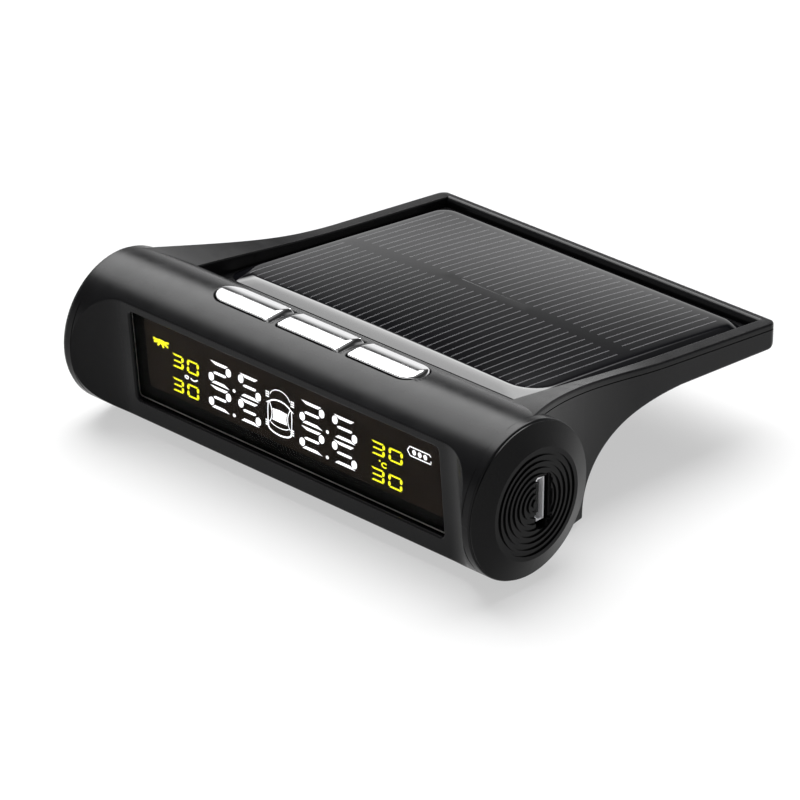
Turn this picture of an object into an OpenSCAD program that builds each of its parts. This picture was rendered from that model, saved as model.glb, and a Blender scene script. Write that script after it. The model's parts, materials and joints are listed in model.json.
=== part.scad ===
// Solar tyre pressure display unit for a dashboard.
// A horizontal tube holds the display, the keys and the electronics, and a wing behind it holds a solar panel.
// Millimetres, +Z up, the display faces -Y. The origin is under the middle of the whole body, on the surface it
// stands on. Most modules work in the tube frame: X along the tube, with Y and Z measured from the tube's axis.

/* [Whole body] */
// Length over both end caps
body_length = 95; // [90:0.5:100]
// Depth from the front of the tube to the rear edge of the wing
body_depth = 82; // [80:0.5:86]
// Wall thickness of the two shells
wall = 1.4; // [1.2:0.05:1.6]
// Gap between pieces that sit side by side
gap = 0.15; // [0.1:0.05:0.2]

/* [Tube] */
// Outer radius of the tube
tube_r = 13.3; // [13:0.1:13.6]
// How far each end cap stands out of the tube
cap_out = 1.8; // [1.5:0.1:2]
// Radius of the flat disc on each end cap
cap_disc_r = 9.4; // [8.5:0.1:10]
// Ring grooves on each end cap
cap_rings = 8; // [4:1:10]

/* [Display] */
// How far the display leans forward, in degrees
display_tilt = 5.25; // [4:0.25:6]
// Distance of the display facet from the tube's axis
facet_depth = 8.0; // [7.9:0.05:8.2]
// Radius of the sweep at each end of the facet
facet_sweep_r = 9; // [8:0.5:10]
// Length of the window
window_w = 69.5; // [66:0.5:70]
// Height of the window
window_h = 16.4; // [15.5:0.1:16.6]
// Height of the window's middle above the tube's axis
window_rise = 0.9; // [0.7:0.1:1]

/* [Keys] */
// Length of one key
key_l = 14.1; // [13:0.1:14.4]
// Distance from one key's middle to the next
key_pitch = 15.7; // [15.5:0.1:16.5]
// Width of a key, front to back
key_w = 6.1; // [5.5:0.1:6.2]
// Distance of the keys' middle behind the tube's axis
key_y = 0.95; // [0.6:0.05:1.2]
// How far a key stands out of the tube
key_proud = 0.35; // [0.3:0.05:0.5]
// Travel of a key
key_travel = 0.5; // [0.3:0.1:0.5]
// Gap around a key
key_gap = 0.25; // [0.2:0.05:0.3]

/* [Wing] */
// Width of the wing
wing_w = 75.6; // [74:0.2:77]
// Fall of the wing for each millimetre towards the rear
wing_slope = 0.088; // [0.08:0.002:0.1]
// Height of the rear rim above the tube's axis
wing_rear_z = 4.5; // [4:0.1:4.6]
// Length over which the side fairings sweep out to the tube's ends
fairing_l = 34; // [30:1:36]
// Distance of the rim's top above the seam between the shells
seam_drop = 1.0; // [0.8:0.1:1.2]

/* [Solar panel] */
// Width of the clear solar lens
lens_w = 69.2; // [68:0.2:69.4]
// Length of the clear solar lens
lens_l = 53.4; // [52:0.2:53.6]
// Gap around the lens
lens_gap = 0.6; // [0.4:0.1:0.7]

/* [Base] */
// Thickness of the soft base pad
pad_t = 0.8; // [0.6:0.1:1]
// Width of the base pad
pad_w = 59; // [50:1:60]
// Rear edge of the flat base behind the tube's axis
base_rear = 20; // [19:0.5:21]

/* [Hidden] */
$fn = 96;
eps = 0.02;
big = 200;

tube_half = body_length / 2 - cap_out;
tube_y = tube_r - body_depth / 2;
tube_z = tube_r + pad_t;
inner_r = tube_r - wall;
wing_half = wing_w / 2;
// Half width of the part of the upper shell that reaches down inside the lower one
skirt_half = wing_half - wall - gap;
wing_rear_y = body_depth - tube_r;
wing_tilt = atan(wing_slope);

// The fairing is an arc in plan, from the wing's side at fairing_l to the tube's end at the axis
fairing_out = tube_half - wing_half;
fairing_r = (fairing_l * fairing_l + fairing_out * fairing_out) / (2 * fairing_out);
// The rim's top rises smoothly from the wing to the tube's crest over this length
rise_l = 42;
rise_h = tube_r - plane_z(0);
rear_corner_r = 3;
rear_edge_r = 2.2;
steps = 14;

// Underside of the wing: a straight rear part, then a rounded arch down to the base
arch_y = 45;
arch_top = 1.2;
arch_power = 2.3;
under_rear_z = 0;
wing_floor = 0.85;
// The seam on the tube: under the front, and along the crest at both ends
front_split = -5.6;
crest_split = 1;

// Display frame: front faces are at negative Y
lip_t = 0.7;
facet_wall = 1.1;
display_lens_t = 1;
lcd_t = 2;
lcd_front = -facet_depth + lip_t + display_lens_t + 0.05;
holder_back = -1.6;

board_front = -0.75;
board_back = 0.25;
key_board_z = 4.6;
key_board_t = 0.8;
switch_h = 2.4;
plunger_r = 0.8;
plunger_up = 0.9;
plunger_in = 0.7;
plunger_y = 2.1;
flange_z = 10.25;
flange_t = 0.5;

// The socket's shell ends inside the cap's opening, behind the cap's face
usb_y = 1.75;
usb_z = -0.3;
usb_back = tube_half - 4.2;
usb_front = tube_half + 0.4;
base_z = -tube_r;
base_inner_z = base_z + wall;
// Each case screw: its X, its Y, and the height at which its boss meets the upper shell
base_screws = [[34, 5.2, 10.4], [34, 13.6, 6.5]];

// Solar stack, measured down from the rim plane along its normal
recess_depth = 2.6;
ledge_t = 0.7;
ledge_w = 3.8;
lens_under = -1.7;
lens_r = 4;
panel_mid = -(wing_rear_y - 39.4) / cos(wing_tilt);

shell_colour = [0.09, 0.09, 0.10];
board_colour = [0.05, 0.30, 0.14];
metal_colour = [0.80, 0.80, 0.82];
gold_colour = [0.78, 0.62, 0.28];
red_colour = [0.75, 0.05, 0.05];
black_colour = [0.05, 0.05, 0.05];

function plane_z(y) = wing_rear_z + wing_slope * (wing_rear_y - y);
function smooth(s) = s <= 0 ? 0 : s >= 1 ? 1 : s * s * (3 - 2 * s);
function rim_z(y) = plane_z(y) + rise_h * (1 - smooth(y / rise_l));
function half_width(y) = y >= fairing_l
    ? wing_half
    : wing_half + fairing_r - sqrt(fairing_r * fairing_r - (fairing_l - y) * (fairing_l - y));

// The wing's floor is thinner than the other walls
function floor_of(t) = t > 0 ? wing_floor : 0;

// Points of the arch under the wing, from the base up to the straight part, grown by t
function arch_points(t) = [for (i = [0:steps])
    let (a = 90 * i / steps, half = arch_y - base_rear + t, low = base_z + t, high = arch_top + floor_of(t))
    [arch_y - half * pow(cos(a), 2 / arch_power), low + (high - low) * pow(sin(a), 2 / arch_power)]];

// Points of the seam from the tube's crest back to the wing, lowered by t
function seam_points(t) = [for (i = [0:steps])
    let (y = crest_split + t + (12 - crest_split - t) * i / steps) [y, rim_z(y) - seam_drop - t]];
function reversed(list) = [for (i = [len(list) - 1:-1:0]) list[i]];

module in_tube() { translate([0, tube_y, tube_z]) children(); }
module in_display() { in_tube() rotate([display_tilt, 0, 0]) children(); }
// Wing frame: the origin is on the rim plane at the rear edge, Y runs along the slope
module in_wing() { in_tube() translate([0, wing_rear_y, wing_rear_z]) rotate([-wing_tilt, 0, 0]) children(); }
module along_x(l) { rotate([90, 0, 90]) linear_extrude(l, center = true) children(); }
module tube_bar(r, half) { rotate([0, 90, 0]) cylinder(r = r, h = 2 * half, center = true); }
module box(x, y, z) { translate([x[0], y[0], z[0]]) cube([x[1] - x[0], y[1] - y[0], z[1] - z[0]]); }
module both_sides() { children(); mirror([1, 0, 0]) children(); }

module rounded(w, l, r) {
    square([w - 2 * r, l], center = true);
    square([w, l - 2 * r], center = true);
    for (x = [-1, 1], y = [-1, 1]) translate([x * (w / 2 - r), y * (l / 2 - r)]) circle(r = r);
}

// Outline of the wing seen from above, moved in by t
module wing_plan(t, front) {
    r = rear_corner_r - t;
    flank = [for (i = [0:steps]) let (y = front + (fairing_l - front) * i / steps) [half_width(y) - t, y]];
    corner = [for (i = [0:6]) let (a = 15 * i)
        [wing_half - t - r + r * cos(a), wing_rear_y - t - r + r * sin(a)]];
    side = concat(flank, corner);
    polygon(concat(side, [for (i = [len(side) - 1:-1:0]) [-side[i][0], side[i][1]]]));
}

// Side outline of the body below a line that is drop under the rim, moved in by t
module body_side(t, drop) {
    lift = t > 0 ? 1 : 0;
    rim = [for (i = [0:steps * 2]) let (y = wing_rear_y - t - (wing_rear_y - t) * i / (steps * 2))
        [y, rim_z(y) - drop + lift * wall]];
    rear = [for (i = [0:4]) let (a = -90 + 22.5 * i)
        [wing_rear_y - rear_edge_r + (rear_edge_r - t) * cos(a),
        under_rear_z + rear_edge_r + (rear_edge_r - floor_of(t)) * sin(a)]];
    polygon(concat([[0, base_z + t]], arch_points(t), rear, rim));
}

module body_solid(t, drop) {
    intersection() {
        along_x(body_length) body_side(t, drop);
        translate([0, 0, -big / 2]) linear_extrude(big) wing_plan(t, 0);
    }
}

// The scoop in front of the display facet, in the display frame, grown by t
module scoop(t) {
    run = 36;
    far = facet_depth + facet_sweep_r;
    r = facet_sweep_r + t;
    translate([0, -far, 0]) {
        cube([2 * run, 2 * r, big / 4], center = true);
        for (x = [-run, run]) translate([x, 0, 0]) cylinder(r = r, h = big / 4, center = true);
    }
}

module window_block(w, h, y0, y1) {
    translate([0, (y0 + y1) / 2, window_rise]) rotate([90, 0, 0])
        linear_extrude(y1 - y0, center = true) rounded(w, h, 0.8);
}

module key_outline(grow, end) {
    r = key_w / 2 + grow;
    l = key_l + 2 * grow;
    if (end == 0) square([l, 2 * r], center = true);
    else {
        translate([-end * r / 2, 0]) square([l - r, 2 * r], center = true);
        translate([end * (l / 2 - r), 0]) circle(r = r);
    }
}

module key_place(i) { translate([i * key_pitch, key_y, 0]) children(); }

// ---- Housing ----

module tube_wall() {
    difference() {
        tube_bar(tube_r, tube_half);
        tube_bar(inner_r, tube_half + 1);
    }
}

module tube_front() {
    difference() {
        tube_bar(tube_r, tube_half);
        rotate([display_tilt, 0, 0]) scoop(0);
        difference() {
            tube_bar(inner_r, tube_half + 1);
            rotate([display_tilt, 0, 0]) scoop(facet_wall);
        }
    }
}

// Space of the tube that belongs to the upper shell
module upper_zone() {
    box([-big, big], [-big, front_split - gap], [-big, big]);
    box([-skirt_half + 0.05, skirt_half - 0.05], [front_split - 1, 11], [7.4, 30]);
    along_x(body_length) polygon(concat([[front_split - 1, 30], [front_split - 1, 0], [crest_split, 0]],
        seam_points(0), [[12, 30]]));
}

module rim_strip() {
    outer = [for (i = [0:steps * 2]) let (y = wing_rear_y * i / (steps * 2)) [y, rim_z(y)]];
    inner = [for (i = [steps * 2:-1:0]) let (y = wing_rear_y * i / (steps * 2)) [y, rim_z(y) - seam_drop]];
    difference() {
        intersection() {
            along_x(body_length) polygon(concat(outer, inner));
            translate([0, 0, -big / 2]) linear_extrude(big) wing_plan(0, 0);
        }
        box([-wing_half + 2.5, wing_half - 2.5], [-1, wing_rear_y - 2.2], [-big / 2, big / 2]);
        tube_bar(inner_r, tube_half + 1);
    }
}

// Walls that close the rim strip down to the deck, on each side of the solar panel
module rim_walls() {
    top = [for (i = [0:steps]) let (y = 2 + (rise_l + 2) * i / steps) [y, rim_z(y)]];
    foot = [for (i = [steps, 0]) let (y = 2 + (rise_l + 2) * i / steps) [y, plane_z(y) - recess_depth]];
    difference() {
        both_sides() translate([skirt_half - 0.5, 0, 0]) along_x(0.8) polygon(concat(top, foot));
        tube_bar(inner_r, tube_half + 1);
    }
}

// Deck around the solar panel, in the wing frame
module deck() {
    front = -(wing_rear_y - 9) / cos(wing_tilt);
    top_half = wing_half - 2.4;
    intersection() {
        box([-skirt_half, skirt_half], [front, 0], [-recess_depth - ledge_t, -seam_drop]);
        translate([0, -wing_rear_y / cos(wing_tilt), -5]) linear_extrude(10) wing_plan(wall + gap, 0);
    }
    box([-top_half, top_half], [front, -rear_corner_r / 2], [-seam_drop - 0.1, 0]);
}

module solar_recess() {
    translate([0, panel_mid, -recess_depth]) linear_extrude(30)
        rounded(lens_w + 2 * lens_gap, lens_l + 2 * lens_gap, lens_r);
    translate([0, panel_mid, -10]) linear_extrude(30)
        rounded(lens_w + 2 * lens_gap - 2 * ledge_w, lens_l + 2 * lens_gap - 2 * ledge_w, 2);
}

module upper_shell() {
    color(shell_colour) difference() {
        union() {
            in_tube() {
                intersection() {
                    tube_front();
                    upper_zone();
                }
                rim_strip();
                rim_walls();
                both_sides() for (p = base_screws) translate([p[0], p[1], base_inner_z + 2.2])
                    cylinder(r = 2, h = p[2] - base_inner_z - 2.2);
                both_sides() translate([20, 6.8, key_board_z + key_board_t + gap]) cylinder(r = 1.6, h = 4.4);
            }
            in_wing() difference() {
                deck();
                translate([0, -wing_rear_y / cos(wing_tilt), 0]) rotate([wing_tilt, 0, 0])
                    translate([0, 0, -plane_z(0)]) tube_bar(inner_r, tube_half);
            }
        }
        in_wing() solar_recess();
        in_display() {
            window_block(window_w, window_h, -big / 8, 0);
            window_block(71.4, 17.9, -facet_depth + lip_t, 0);
        }
        in_tube() {
            for (i = [-1:1]) key_place(i) translate([0, 0, flange_z]) linear_extrude(10) key_outline(key_gap, i);
            for (i = [-1:1]) key_place(i) translate([0, 0, 5.6])
                linear_extrude(flange_z + flange_t + gap - 5.6) square([key_l + 1.3, key_w + 1.6], center = true);
            both_sides() for (p = base_screws) translate([p[0], p[1], base_inner_z + 2])
                cylinder(r = 0.8, h = 7);
            both_sides() translate([20, 6.8, key_board_z]) cylinder(r = 0.55, h = 3.6);
        }
    }
}

module lower_shell() {
    color(shell_colour) in_tube() difference() {
        union() {
            difference() {
                union() {
                    difference() {
                        body_solid(0, seam_drop + gap);
                        box([-big, big], [-1, crest_split + gap], [0, 30]);
                    }
                    intersection() {
                        tube_bar(tube_r, tube_half);
                        along_x(body_length) polygon(concat([[crest_split + gap, 0], [front_split, 0],
                            [front_split, -20], [20, -20], [20, rim_z(12) - seam_drop - gap]],
                            [for (p = reversed(seam_points(gap))) p]));
                    }
                }
                tube_bar(inner_r, tube_half + 1);
                body_solid(wall, -big / 8);
                box([-wing_half + wall, wing_half - wall], [-1, 14], [0, 30]);
            }
            both_sides() for (p = base_screws) translate([p[0], p[1], base_z + eps]) cylinder(r = 2.6, h = 3.4);
        }
        both_sides() for (p = base_screws) translate([p[0], p[1], base_z - 1]) {
            cylinder(r = 2.1, h = 2.4);
            cylinder(r = 1.15, h = 6);
        }
    }
}

// ---- End caps ----

// Section of a cap along its axis: the plug inside the tube, the cone, and the grooved disc
module cap_section() {
    cap_plug = 0.95;
    pitch = cap_disc_r / (cap_rings + 1);
    plug_r = inner_r - 0.1;
    face = [for (i = [cap_rings:-1:1], p = [0:3]) let (r = i * pitch, half = pitch * 0.3)
        [r + (p < 2 ? half : -half), cap_out - (p == 1 || p == 2 ? 0.3 : 0)]];
    polygon(concat([[0, 0.25], [plug_r - 1.3, 0.25], [plug_r - 1.3, -cap_plug], [plug_r, -cap_plug], [plug_r, 0.05],
        [tube_r - 0.25, 0.05], [tube_r - 0.25, 0.25], [cap_disc_r, cap_out]], face, [[0, cap_out]]));
}

module end_cap() { translate([tube_half, 0, 0]) rotate([0, 90, 0]) rotate_extrude() cap_section(); }

module left_end_cap() { color(shell_colour) in_tube() mirror([1, 0, 0]) end_cap(); }

module socket_outline(grow) {
    h = 4.65 + grow;
    w = 1.85 + grow;
    polygon([[-w, -h + 1], [-w + 1, -h], [w - 1, -h], [w, -h + 1], [w, h - 0.6], [w - 0.6, h], [0.6 - w, h],
        [-w, h - 0.6]]);
}

module right_end_cap() {
    color(shell_colour) in_tube() difference() {
        end_cap();
        translate([tube_half, usb_y, usb_z]) along_x(6) socket_outline(0);
    }
}

// ---- Display ----

module display_lens() {
    color([0.05, 0.05, 0.05, 0.6]) in_display()
        window_block(71.2, 17.7, -facet_depth + lip_t + 0.02, -facet_depth + lip_t + display_lens_t);
}

module lcd_panel() {
    color([0.10, 0.10, 0.11]) in_display() window_block(69.2, 16.6, lcd_front, lcd_front + lcd_t);
}

module colour_filter() {
    color([0.92, 0.95, 0.10]) in_display()
        window_block(68, 16, lcd_front + lcd_t + 0.05, lcd_front + lcd_t + 0.25);
}

module backlight_guide() {
    color([0.95, 0.95, 0.92]) in_display() window_block(68.4, 16.3, lcd_front + lcd_t + 0.3, holder_back - 0.6);
}

module lcd_holder() {
    color([0.85, 0.85, 0.83]) difference() {
        in_display() difference() {
            window_block(71.8, 17.3, lcd_front + 0.05, holder_back);
            window_block(69.4, 16.75, lcd_front - 1, lcd_front + lcd_t + 0.27);
            window_block(68.6, 16.5, lcd_front - 1, holder_back - 0.55);
        }
    }
}

// ---- Boards ----

module main_board() {
    color(board_colour) in_tube() difference() {
        box([-41, 41], [board_front, board_back], [-8.6, 7.6]);
        for (x = [-34.8, 34.8], z = [-6.6, 5.8]) translate([x, 0, z]) rotate([90, 0, 0])
            cylinder(r = 0.85, h = 4, center = true);
        for (i = [-1:1]) key_place(i) box([-1.2, 1.2], [-4, 1], [7.3, 9]);
    }
}

module board_chips() {
    color(black_colour) in_tube() {
        box([-11.5, -4.5], [board_back, board_back + 0.9], [-5.5, 1.5]);
        box([8, 13], [board_back, board_back + 1], [-6.5, -2.5]);
        box([-20, -16], [board_back, board_back + 0.8], [-3, 1]);
        for (x = [-24, -14, 1, 4]) box([x, x + 1.6], [board_back, board_back + 0.6], [-7.6, -6.8]);
    }
    color(metal_colour) in_tube() box([-1, 2.2], [board_back, board_back + 0.7], [-1.5, 1]);
}

module key_board() {
    color(board_colour) in_tube() difference() {
        box([-24, 24], [board_back + 0.2, 9], [key_board_z, key_board_z + key_board_t]);
        both_sides() translate([20, 6.8, key_board_z - 1]) cylinder(r = 0.85, h = 4);
    }
}

module board_header() {
    color([0.08, 0.08, 0.08]) in_tube() box([-6.4, 6.4], [board_back + 0.02, 2.4], [2.4, key_board_z - 0.02]);
}

module key_switch(i) {
    top = key_board_z + key_board_t + switch_h;
    color([0.12, 0.12, 0.13]) in_tube() difference() {
        translate([i * key_pitch, plunger_y, top - switch_h / 2]) cube([4.4, 3, switch_h], center = true);
        translate([i * key_pitch, plunger_y, top - plunger_in - key_travel - 0.2])
            cylinder(r = plunger_r + 0.08, h = 5);
    }
}

module plunger(i) {
    top = key_board_z + key_board_t + switch_h;
    color([0.85, 0.83, 0.78]) in_tube() translate([i * key_pitch, plunger_y, top - plunger_in])
        cylinder(r = plunger_r, h = plunger_in + plunger_up);
}

// A key is a curved chrome cap with a flange under the shell and a stem that meets the plunger
module key(i) {
    stem_z = key_board_z + key_board_t + switch_h + plunger_up;
    color(metal_colour) in_tube() {
        intersection() {
            key_place(i) translate([0, 0, flange_z]) linear_extrude(6) key_outline(0, i);
            tube_bar(tube_r + key_proud, tube_half);
        }
        key_place(i) translate([0, 0, flange_z + flange_t / 2])
            cube([key_l + 0.9, key_w + 1.2, flange_t], center = true);
        translate([i * key_pitch, plunger_y, stem_z]) cylinder(r = 1.2, h = flange_z - stem_z + eps);
    }
}

module left_switch() { key_switch(-1); }
module middle_switch() { key_switch(0); }
module right_switch() { key_switch(1); }
module left_plunger() { plunger(-1); }
module middle_plunger() { plunger(0); }
module right_plunger() { plunger(1); }
module left_key() { key(-1); }
module middle_key() { key(0); }
module right_key() { key(1); }

// ---- Charging socket ----

module usb_outline(grow) {
    h = 3.75 + grow;
    w = 1.4 + grow;
    polygon([[-w, -h + 1.1], [-w + 1.1, -h], [w, -h], [w, h], [-w + 1.1, h], [-w, h - 1.1]]);
}

module usb_tube(back, front, grow) {
    translate([(back + front) / 2, usb_y, usb_z]) along_x(front - back) usb_outline(grow);
}

module usb_shell() {
    color(metal_colour) in_tube() difference() {
        usb_tube(usb_back, usb_front, 0);
        usb_tube(usb_back + 0.6, usb_front + 1, -0.3);
    }
}

module usb_tongue() {
    color([0.05, 0.05, 0.05]) in_tube() translate([0, usb_y, usb_z])
        box([usb_back + 0.62, usb_front - 0.5], [0.1, 0.7], [-2.6, 2.6]);
}

// ---- Power and sensors ----

module battery_cell() {
    color([0.75, 0.76, 0.78]) in_tube() translate([0, 9.5, base_inner_z + 0.6]) {
        translate([0, 0, 0.3]) linear_extrude(4.4) rounded(34, 15, 1.2);
        linear_extrude(5) rounded(33, 14, 1);
    }
}

module battery_foam() {
    color([0.15, 0.15, 0.15]) in_tube() box([-15, 15], [4, 15], [base_inner_z + 0.03, base_inner_z + 0.57]);
}

module battery_connector() {
    color([0.93, 0.92, 0.86]) in_tube() difference() {
        box([23, 28], [board_back + 0.02, 3.4], [-8, -5]);
        box([23.6, 27.4], [1.4, 4], [-7.5, -5.5]);
    }
}

// Faces of a polyhedron whose points are rings of the same number of sides
function ring_faces(rings, sides) = concat(
    [for (i = [0:rings - 2], s = [0:sides - 1]) let (n = (s + 1) % sides)
        [i * sides + s, i * sides + n, (i + 1) * sides + n, (i + 1) * sides + s]],
    [[for (s = [sides - 1:-1:0]) s], [for (s = [0:sides - 1]) (rings - 1) * sides + s]]);

function unit(v) = v / norm(v);

// Insulated wire swept along its points
module wire(points, r) {
    sides = 12;
    last = len(points) - 1;
    rings = [for (i = [0:last], s = [0:sides - 1])
        let (t = unit(points[min(i + 1, last)] - points[max(i - 1, 0)]), u = unit(cross(t, [0, 0, 1])),
        b = 360 * s / sides) points[i] + r * (cos(b) * u + sin(b) * cross(u, t))];
    polyhedron(rings, ring_faces(last + 1, sides), convexity = 4);
}

// Leads of the battery, from the cell's end to the connector; k is 0 for the red one
module battery_lead(k) {
    in_tube() translate([1.6 * k, 0, 0])
        wire([[17.1 - 1.6 * k, 7 + 3 * k, -8.6], [21 + 0.6 * k, 6.6 + 2 * k, -8.2], [24.7, 5.4, -6.8],
            [24.7, 1.5, -6.5]], 0.45);
}

module battery_lead_red() { color(red_colour) battery_lead(0); }
module battery_lead_black() { color(black_colour) battery_lead(1); }

module buzzer() {
    color([0.10, 0.10, 0.10]) in_tube() translate([-26.5, 10, base_inner_z + 0.03]) difference() {
        cylinder(r = 5.5, h = 4);
        translate([0, 0, 3]) cylinder(r = 1, h = 2);
    }
}

// Helical aerial: one tube swept along a helix about the X direction
module antenna_coil() {
    turns = 7;
    per_turn = 14;
    coil_r = 1.9;
    wire_r = 0.3;
    sides = 6;
    pitch = 1.9;
    last = turns * per_turn;
    rings = [for (i = [0:last], s = [0:sides - 1])
        let (a = 360 * i / per_turn, b = 360 * s / sides, r = coil_r + wire_r * cos(b))
        [16 + pitch * i / per_turn + wire_r * sin(b), 2.6 + r * cos(a), 0.4 + r * sin(a)]];
    color(gold_colour) in_tube() polyhedron(rings, ring_faces(last + 1, sides), convexity = 10);
}

module vibration_sensor() {
    color(gold_colour) in_tube() translate([-24, board_back + 1.85, 2.5]) {
        tube_bar(1.5, 4);
        tube_bar(1.8, 2.5);
    }
}

// ---- Solar panel ----

module solar_lens() {
    color([0.05, 0.06, 0.08, 0.7]) in_wing() translate([0, panel_mid, 0]) {
        translate([0, 0, lens_under]) linear_extrude(1.1) rounded(lens_w, lens_l, lens_r);
        translate([0, 0, lens_under + 1.05]) linear_extrude(0.45) rounded(lens_w - 1.6, lens_l - 1.6, lens_r);
        translate([0, 0, lens_under + 1.45]) linear_extrude(0.35) rounded(lens_w - 5, lens_l - 5, lens_r);
    }
}

module solar_cells() {
    color([0.03, 0.03, 0.06]) in_wing() translate([0, panel_mid, lens_under - 0.22]) linear_extrude(0.2)
        rounded(lens_w - 2, lens_l - 2, lens_r - 1);
}

module solar_backboard() {
    color(board_colour) in_wing() translate([0, panel_mid, lens_under - 0.82]) linear_extrude(0.58)
        rounded(lens_w - 0.4, lens_l - 0.4, lens_r);
}

module solar_gasket() {
    color([0.2, 0.2, 0.2]) in_wing() translate([0, panel_mid, -recess_depth + 0.01]) linear_extrude(0.06) difference() {
        rounded(lens_w - 1, lens_l - 1, lens_r);
        rounded(lens_w - 6, lens_l - 6, 2);
    }
}

// Leads of the solar panel, from its board down to the main board
module solar_lead(k) {
    in_tube() translate([2.4 * k, 0, 0])
        wire([[-2, 24, 5.1], [-2, 19, 2.5], [-2, 10, 0.2], [-1.4, 4.5, -1.6], [-1.4, 0.5, -3]], 0.4);
}

module solar_lead_red() { color(red_colour) solar_lead(0); }
module solar_lead_black() { color(black_colour) solar_lead(1); }

// ---- Fasteners and base ----

module screw(head_r, head_h, r, l) {
    difference() {
        cylinder(r = head_r, h = head_h);
        translate([0, 0, -eps]) for (a = [0, 90]) rotate([0, 0, a])
            translate([0, 0, head_h / 4]) cube([head_r * 1.2, head_r * 0.3, head_h / 2 + eps], center = true);
    }
    translate([0, 0, head_h - eps]) cylinder(r = r, h = l);
}

module case_screws() {
    color(metal_colour) in_tube() both_sides() for (p = base_screws)
        translate([p[0], p[1], base_z + 0.12]) screw(1.9, 1.2, 0.75, 6.5);
}

module board_screws() {
    color(metal_colour) in_tube() for (x = [-34.8, 34.8], z = [-6.6, 5.8])
        translate([x, board_back + 0.9, z]) rotate([90, 0, 0]) screw(1.4, 0.88, 0.6, 1.15);
}

module key_board_screws() {
    color(metal_colour) in_tube() both_sides() translate([20, 6.8, key_board_z - 0.92])
        screw(1.4, 0.9, 0.5, 3.6);
}

module base_pad() {
    depth = base_rear - 2;
    color([0.16, 0.16, 0.17]) in_tube() translate([0, 1 + depth / 2, base_z - pad_t])
        linear_extrude(pad_t) rounded(pad_w, depth, 3);
}

upper_shell();
lower_shell();
left_end_cap();
right_end_cap();
display_lens();
lcd_panel();
colour_filter();
backlight_guide();
lcd_holder();
main_board();
board_chips();
key_board();
board_header();
left_switch();
middle_switch();
right_switch();
left_plunger();
middle_plunger();
right_plunger();
left_key();
middle_key();
right_key();
usb_shell();
usb_tongue();
battery_cell();
battery_foam();
battery_connector();
battery_lead_red();
battery_lead_black();
buzzer();
antenna_coil();
vibration_sensor();
solar_lens();
solar_cells();
solar_backboard();
solar_gasket();
solar_lead_red();
solar_lead_black();
case_screws();
board_screws();
key_board_screws();
base_pad();
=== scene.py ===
import json
import math
import bmesh
import bpy
import numpy as np
from mathutils import Matrix, Vector


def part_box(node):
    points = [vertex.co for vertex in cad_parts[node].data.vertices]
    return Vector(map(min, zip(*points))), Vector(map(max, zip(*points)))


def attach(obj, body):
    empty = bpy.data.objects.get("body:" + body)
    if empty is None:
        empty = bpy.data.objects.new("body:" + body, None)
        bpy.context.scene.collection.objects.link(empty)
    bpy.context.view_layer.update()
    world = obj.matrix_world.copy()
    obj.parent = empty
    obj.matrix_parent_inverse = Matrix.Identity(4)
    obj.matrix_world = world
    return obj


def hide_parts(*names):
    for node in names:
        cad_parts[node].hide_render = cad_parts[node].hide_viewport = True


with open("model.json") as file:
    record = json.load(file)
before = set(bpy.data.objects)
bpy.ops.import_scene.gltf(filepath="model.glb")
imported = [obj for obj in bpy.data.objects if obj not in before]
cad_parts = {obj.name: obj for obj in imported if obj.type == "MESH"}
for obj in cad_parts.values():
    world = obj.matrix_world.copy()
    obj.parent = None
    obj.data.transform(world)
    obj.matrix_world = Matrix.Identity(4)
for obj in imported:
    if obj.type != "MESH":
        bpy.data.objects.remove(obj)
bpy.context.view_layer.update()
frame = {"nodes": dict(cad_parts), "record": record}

# ---- Sizes, in millimetres. Shapes are made in the tube frame: the origin is on the tube's axis ----
MM = 0.001
CAP_LOW, CAP_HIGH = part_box("left_end_cap")
AXIS_Y = (CAP_LOW.y + CAP_HIGH.y) / 2 / MM
AXIS_Z = (CAP_LOW.z + CAP_HIGH.z) / 2 / MM
TUBE_R = 13.3
TUBE_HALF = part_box("upper_shell")[1].x / MM
REAR_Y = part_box("lower_shell")[1].y / MM - AXIS_Y
BASE_Z = -TUBE_R
WALL = 1.4
CAVITY_FLAT_X, CAVITY_ROUND_X = 43.0, 44.2

DISPLAY_TILT = math.radians(5.25)
FACET_DEPTH = 8.0
SWEEP_R = 9.0
SWEEP_X = 36.0
WINDOW_W, WINDOW_H, WINDOW_R, WINDOW_RISE = 69.5, 16.4, 0.8, 0.9
LIP_BACK, POCKET_BACK = -7.3, -6.0
POCKET_SIDE, POCKET_END = 0.95, 0.75
LCD_FRONT = -6.25
MASK_SIDE, MASK_END = 1.7, 0.2
MASK_HOLE_W, MASK_HOLE_H, MASK_HOLE_R = 66.4, 12.9, 0.5
MASK_HOLE_X, MASK_HOLE_RISE = 0.2, 1.7

KEY_L, KEY_W, KEY_Y, KEY_PITCH = 14.1, 6.1, 0.7, 15.7
KEY_GAP, KEY_CORNER = 0.25, 0.45
FLANGE_Z, FLANGE_T, FLANGE_SIDE, FLANGE_END = 10.25, 0.5, 0.45, 0.6
KEY_POCKET_SIDE, KEY_POCKET_END, KEY_POCKET_Z, KEY_POCKET_TOP = 0.65, 0.8, 5.6, 0.15
STEM_R, STEM_Y, STEM_Z, STEM_OVERLAP = 1.2, 2.1, 8.7, 0.2
RIDGE_Y, RIDGE_Z, RIDGE_SOFT = 1.15, 13.80, 0.24
KEY_FRONT_SLOPE, KEY_REAR_SLOPE = math.tan(math.radians(7.3)), math.tan(math.radians(15))
KEY_END_SLOPE, KEY_END_L = 1.4, 0.8

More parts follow.
